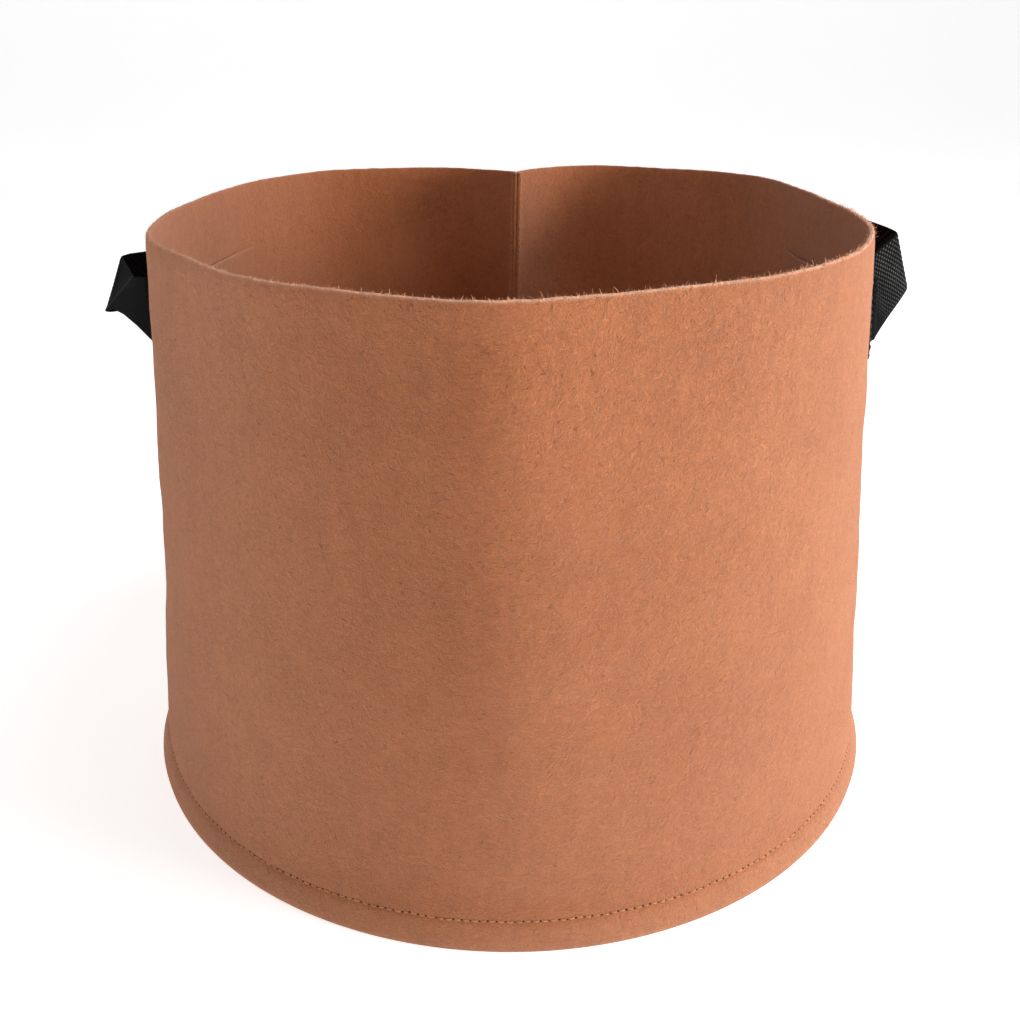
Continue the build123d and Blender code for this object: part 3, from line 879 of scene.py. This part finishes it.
def strap_edges(handle):
    """The webbing's top and bottom edges from the front sewn end's tip to the rear one's, as many points, the
    distance along the middle to each, and to each of the handle's lines."""
    side = handle["side"]
    half_width = STRAP_WIDTH / 2
    tabs = []
    for y, away in ((handle["front_y"], -1), (handle["rear_y"], 1)):
        tab_y = y + away * np.linspace(TAB_LENGTH, 0.0, TAB_POINTS)
        column = wall_columns(tab_y.min(), tab_y.max(), side, STRAP_CENTRE_Z, len(tab_y))
        tab = []
        for z in (STRAP_CENTRE_Z + half_width, STRAP_CENTRE_Z - half_width):
            point, facing = on_wall(column, z)
            point = point + facing * (FELT / 2 + STRAP_THICK / 2 + STRAP_PLAY - TAB_PRESS)
            tab.append(np.concatenate([point, np.full((len(point), 1), z)], -1))
        tabs.append(np.stack(tab, 1))
    free = np.array(handle["lines"]) * (side, 1, 1)
    lines = np.concatenate([tabs[0], free, tabs[1]])
    far = along(lines.mean(axis=1))
    line_far = far[len(tabs[0]):-len(tabs[1])]
    fine = np.arange(0, far[-1], EDGE_STEP)
    edges = np.stack([[np.interp(fine, far, lines[:, e, k]) for k in range(3)] for e in range(2)], 0)
    reach = round(handle["softness"] / EDGE_STEP * 2)
    weight = np.exp(-(np.arange(-reach, reach + 1) / (reach / 2)) ** 2)
    weight /= weight.sum()
    soft = np.empty_like(edges)
    for e in range(2):
        for k in range(3):
            start, end = edges[e, k, 0], edges[e, k, -1]
            slope = edges[e, k, 1] - start, end - edges[e, k, -2]
            steps = np.arange(1, reach + 1)
            padded = np.concatenate([start - slope[0] * steps[::-1], edges[e, k], end + slope[1] * steps])
            soft[e, k] = np.convolve(padded, weight, "valid")
    return soft[0].T, soft[1].T, fine, line_far


def strap_length(handle):
    """The webbing's length from tip to tip."""
    return strap_edges(handle)[2][-1]


def strap_surface(handle, far, across):
    """The webbing's middle surface and its normals at distances along and across it, and the distance along
    the cloth itself to each point, which differs from edge to edge at a slanting crease."""
    top, bottom, fine, _ = strap_edges(handle)
    grid = []
    for edge in (top, bottom):
        grid.append(np.stack([np.interp(far, fine, edge[:, k]) for k in range(3)], -1))
    share = (across / STRAP_WIDTH + 0.5)[None, :, None]
    middle = grid[1][:, None] * (1 - share) + grid[0][:, None] * share
    lengthwise = np.gradient(middle, axis=0)
    upwards = np.broadcast_to((grid[0] - grid[1])[:, None], middle.shape)
    normal = unit(np.cross(upwards, lengthwise)) * -handle["side"]
    cloth = along(grid[1])[:, None] * (1 - share[..., 0]) + along(grid[0])[:, None] * share[..., 0]
    return middle, normal, cloth


WEBBING_COLUMN = 0.38  # length of one of the webbing's columns
WEBBING_ROWS = 74  # its rows between the finer ones at its edges
WEAVE_WAVES = (0.15, 4, 40.0, 10.0)
INNER_YARN_LIGHT = 0.2  # how much painted light the face towards the bag gets, against the outer one


def strap(name, handle):
    """One length of webbing, sewn down at both ends, with raised yarns in staggered rows."""
    length = strap_length(handle)
    far = np.linspace(0, length, round(length / WEBBING_COLUMN))
    half_width = STRAP_WIDTH / 2
    inner = np.linspace(-half_width + 0.4, half_width - 0.4, WEBBING_ROWS)
    across = np.concatenate([[-half_width, -half_width + 0.12], inner, [half_width - 0.12, half_width]])
    middle, normal, cloth = strap_surface(handle, far, across)
    taper = np.ones(len(across))
    taper[:2] = 0.5, 0.8
    taper[-2:] = 0.8, 0.5
    u, v = cloth, across[None, :]
    raised = np.cos(math.pi * u / WEAVE_STEP[0]) * np.cos(math.pi * v / WEAVE_STEP[1])
    raised = np.clip(raised, 0, 1) ** 0.6 * (0.85 + waves(WEAVE_WAVES, u, v))
    raised = raised * ease(half_width, half_width - 1.0, np.abs(v))
    column_taper = np.ones(len(far))
    column_taper[[0, -1]] = 0.7
    half = STRAP_THICK / 2 - WEAVE_RELIEF * 0.7 + WEAVE_RELIEF * raised
    cloth_mesh = slab(middle, normal, half, taper, column_taper)
    at_line = strap_edges(handle)[3]
    # Painted light on the yarns: full between the middle two yarn light lines, round the fold, and fading to
    # painted shade towards the wall; the face towards the bag gets less.
    first, full, last, gone = [at_line[k] for k in handle["yarn_light_lines"]]
    yarn_light = handle["yarn_light"] * ease(first, full, far) * (1 - ease(last, gone, far))
    lit_yarns = yarn_light[:, None] * np.ones_like(raised)
    crease_highlight = np.zeros_like(raised)
    # A painted highlight along the hard crease.
    if "crease_line" in handle:
        crease_highlight += np.exp(-((far[:, None] - at_line[handle["crease_line"]]) / CREASE_HIGHLIGHT_REACH) ** 2)
    values = {"raised": both_faces(raised, raised).ravel(),
              "lit_yarns": both_faces(lit_yarns, INNER_YARN_LIGHT * lit_yarns).ravel(),
              "crease_highlight": both_faces(crease_highlight, crease_highlight).ravel()}
    return make_mesh(f"{name}_strap", *cloth_mesh, WEBBING_LOOK, **values)


def box_stitch(name, handle, which):
    """A box with a cross in it, sewn through one end of a strap."""
    length = strap_length(handle)
    tip, root = STITCH_INSET, TAB_LENGTH - STITCH_INSET
    if which == "rear":
        tip, root = length - tip, length - root
    tall = STRAP_WIDTH / 2 - STITCH_INSET
    corners = [(tip, -tall), (root, -tall), (root, tall), (tip, tall)]
    lines = [(corners[i], corners[(i + 1) % 4]) for i in range(4)]
    lines += [(corners[0], corners[2]), (corners[1], corners[3])]
    far = np.linspace(0, length, 700)
    across = np.linspace(-STRAP_WIDTH / 2, STRAP_WIDTH / 2, 57)
    middle, normal, _ = strap_surface(handle, far, across)

    def surface_at(place):
        i, j = np.argmin(np.abs(far - place[0])), np.argmin(np.abs(across - place[1]))
        return middle[i, j] + normal[i, j] * (STRAP_THICK / 2 - 0.05), normal[i, j]

    parts = []
    for a, b in lines:
        count = max(2, round(math.dist(a, b) / BOX_STITCH_PITCH)) + 1
        places = np.linspace(a, b, count)
        holes, normals = zip(*[surface_at(p) for p in places])
        holes = wander(np.array(holes), np.array(normals), 0.06, 0.06)
        parts += stitch_row(holes, np.array(normals), BOX_STITCH)
    return make_mesh(f"{name}_{which}_stitches", *join(parts), STRAP_THREAD_LOOK)


FIBRE_STEPS = 5
RIM_FIBRES = 5000
RIM_FIBRE_WIDTH = 0.22
WALL_FIBRES = 7000
WALL_FIBRE_WIDTH = 0.06


def fibres(name, roots, directions, bends, lengths, width):
    """Fine fibres as narrow strips, each curved from its root."""
    steps = FIBRE_STEPS
    t = np.linspace(0, 1, steps)[None, :, None]
    line = roots[:, None] + directions[:, None] * lengths[:, None, None] * t
    line = line + bends[:, None] * lengths[:, None, None] * t ** 2
    tangent = np.gradient(line, axis=1)
    sideways = unit(np.cross(tangent, chance.normal(0, 1, (len(roots), 1, 3))))
    thin = width * (1 - 0.7 * t)
    points = np.stack([line - sideways * thin / 2, line + sideways * thin / 2], 2)
    k = np.arange(steps - 1)
    quad = np.stack([2 * k, 2 * k + 1, 2 * k + 3, 2 * k + 2], -1)
    faces = (np.arange(len(roots))[:, None, None] * 2 * steps + quad[None]).reshape(-1, 4)
    return make_mesh(name, points.reshape(-1, 3), faces, FIBRE_LOOK)


def rim_fibres(middle, normal):
    """Fuzz along the raw rim: many short fibres that stand up, and a few long ones."""
    count = RIM_FIBRES
    column = chance.integers(8, len(middle) - 8, count)
    root = middle[column, -1] + normal[column, -1] * chance.uniform(-FELT / 2, FELT / 2, count)[:, None] * 0.9
    root = root + chance.normal(0, 0.35, (count, 3)) * (1, 1, 0)
    root[:, 2] -= 0.15
    aim = unit(chance.normal(0, 0.5, (count, 3)) + (0, 0, 1.0))
    length = 0.35 + chance.exponential(0.3, count).clip(0, 1.3)
    length *= 0.35 + 0.65 * rim_fray_and_highlight(middle)[column]
    return fibres("rim_fibres", root, aim, chance.normal(0, 0.45, (count, 3)), length, RIM_FIBRE_WIDTH)


def wall_fibres(middle, normal):
    """Fibres that lie loose on the outer face of the wall."""
    count = WALL_FIBRES
    column = chance.integers(40, len(middle) - 40, count)
    share = (chance.uniform(3, middle.shape[1] - 3, count) % 1)[:, None]
    z_share = chance.uniform(0, 1, count)
    levels = middle[0, :, 2]
    low = np.searchsorted(levels, 5.0 + z_share * (HEIGHT - 8.0)).clip(1, middle.shape[1] - 1) - 1
    point = middle[column, low] * (1 - share) + middle[column, low + 1] * share
    face = normal[column, low]
    root = point + face * (FELT / 2 + 0.03)
    side = np.cross(face, (0, 0, 1.0))
    turn = chance.uniform(0, 2 * math.pi, count)[:, None]
    lying = side * np.cos(turn) + np.array([0, 0, 1.0]) * np.sin(turn)
    across = np.cross(face, lying)
    aim = lying + face * chance.uniform(0.02, 0.12, count)[:, None]
    bend = across * chance.normal(0, 0.35, count)[:, None] - face * 0.06
    length = 0.8 + chance.exponential(1.3, count).clip(0, 6)
    return fibres("wall_fibres", root, aim, bend, length, WALL_FIBRE_WIDTH)


# ---- assembly


def on_bag(piece, slot, *nodes):
    """Fixes a piece to the bag and hides the CAD nodes it stands for. Its slot is not used."""
    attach(piece, "bag")
    if nodes:
        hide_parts(*nodes)
    return piece


wall_piece, wall_middle, wall_normal, levels = wall()
on_bag(wall_piece, "felt", "wall_panel")
base_piece = on_bag(base(), "felt", "base_panel")
on_bag(hem_tongues(), "felt")
base_threads, needle_holes = base_seam()
on_bag(base_threads, "seam_thread", "base_seam_thread")
on_bag(needle_holes, "seam_thread")
on_bag(side_seam(wall_middle, levels), "seam_thread", "side_seam_thread")
rim_fuzz = on_bag(rim_fibres(wall_middle, wall_normal), "felt")
wall_fuzz = on_bag(wall_fibres(wall_middle, wall_normal), "felt")

for side_name, handle in HANDLES.items():
    patch_piece = on_bag(patch(side_name, handle), "felt", f"{side_name}_inner_patch")
    strap_piece = strap(side_name, handle)
    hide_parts(*[f"{side_name}_strap_{part}" for part in ("front_end", "rear_end", "loop")])
    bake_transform(strap_piece)
    strap_flat = (strap_length(handle) * MM, STRAP_WIDTH * MM)
    for which in ("front", "rear"):
        on_bag(box_stitch(side_name, handle, which), "strap_thread", f"{side_name}_{which}_box_stitch")


# ---- floor, light and camera

FLOOR_HALF_WIDTH = 5.0
FLOOR_TOP = 4.0  # the floor ends this high behind the bag
KEY = (75, 10, 29.0)  # each light's direction and power
KEY_ABOVE = (75, 60, 11.0)
KEY_BEHIND = (100, 25, 8.2)
FILL = (-70, 27, 8.8)
FILL_SIZE = 1.6
WORLD_LIGHT = 0.18


def stage_floor():
    """A white floor that curves up far behind, lit from below like a light table."""
    bend = [(FLOOR_BEHIND + FLOOR_BEND * math.sin(a), FLOOR_BEND - FLOOR_BEND * math.cos(a))
            for a in np.linspace(0.1, math.pi / 2, 14)]
    profile = [(-FLOOR_BEHIND, 0.0), (FLOOR_BEHIND, 0.0), *bend, (FLOOR_BEHIND + FLOOR_BEND, FLOOR_TOP)]
    sides = (-FLOOR_HALF_WIDTH, FLOOR_HALF_WIDTH)
    points = [(x / MM, y / MM, z / MM) for x in sides for y, z in profile]
    n = len(profile)
    faces = [(k, k + n, k + n + 1, k + 1) for k in range(n - 1)]
    s = Shader("floor")
    s.link("Base Color", s.mix(s.noise(s.where, 3.0), (0.86, 0.86, 0.86, 1), (0.89, 0.89, 0.89, 1)))
    s.set(Roughness=0.9, Specular_IOR_Level=0.1, Emission_Strength=FLOOR_GLOW, Emission_Color=(1, 1, 1, 1))
    make_mesh("floor", points, faces, s.material)


def light(name, azimuth, elevation, power, size=SOFT_BOX):
    """A square soft box that faces the bag, from a direction in degrees: 0 is the front, 90 the right."""
    lamp = bpy.data.lights.new(name, "AREA")
    lamp.size = size
    lamp.energy = power
    holder = new_object(name, lamp)
    turn, rise = math.radians(azimuth), math.radians(elevation)
    way = Vector((math.cos(rise) * math.sin(turn), -math.cos(rise) * math.cos(turn), math.sin(rise)))
    holder.location = way * LIGHT_DISTANCE + Vector((0, 0, HEIGHT * MM / 2))
    holder.rotation_euler = way.to_track_quat("Z", "Y").to_euler()


def stage_lights():
    """A low key light from the right, softer ones above it and behind it, and a weak one from the left."""
    light("key", *KEY)
    light("key_above", *KEY_ABOVE)
    light("key_behind", *KEY_BEHIND)
    light("fill", *FILL, FILL_SIZE)
    world = bpy.data.worlds.new("studio")
    world.use_nodes = True
    background = world.node_tree.nodes["Background"]
    background.inputs["Color"].default_value = (1, 1, 1, 1)
    background.inputs["Strength"].default_value = WORLD_LIGHT
    bpy.context.scene.world = world
    bpy.context.scene.view_settings.view_transform = "Standard"


def camera():
    """Stands a little above the rim and looks down into the bag."""
    lens = bpy.data.cameras.new("camera")
    lens.sensor_width = 36.0
    lens.lens = CAMERA_LENS
    lens.clip_start = 0.01
    holder = new_object("camera", lens)
    holder.location = CAMERA_PLACE
    holder.rotation_euler = (math.radians(90 - CAMERA_PITCH), 0, 0)
    bpy.context.scene.camera = holder


stage_floor()
stage_lights()
camera()
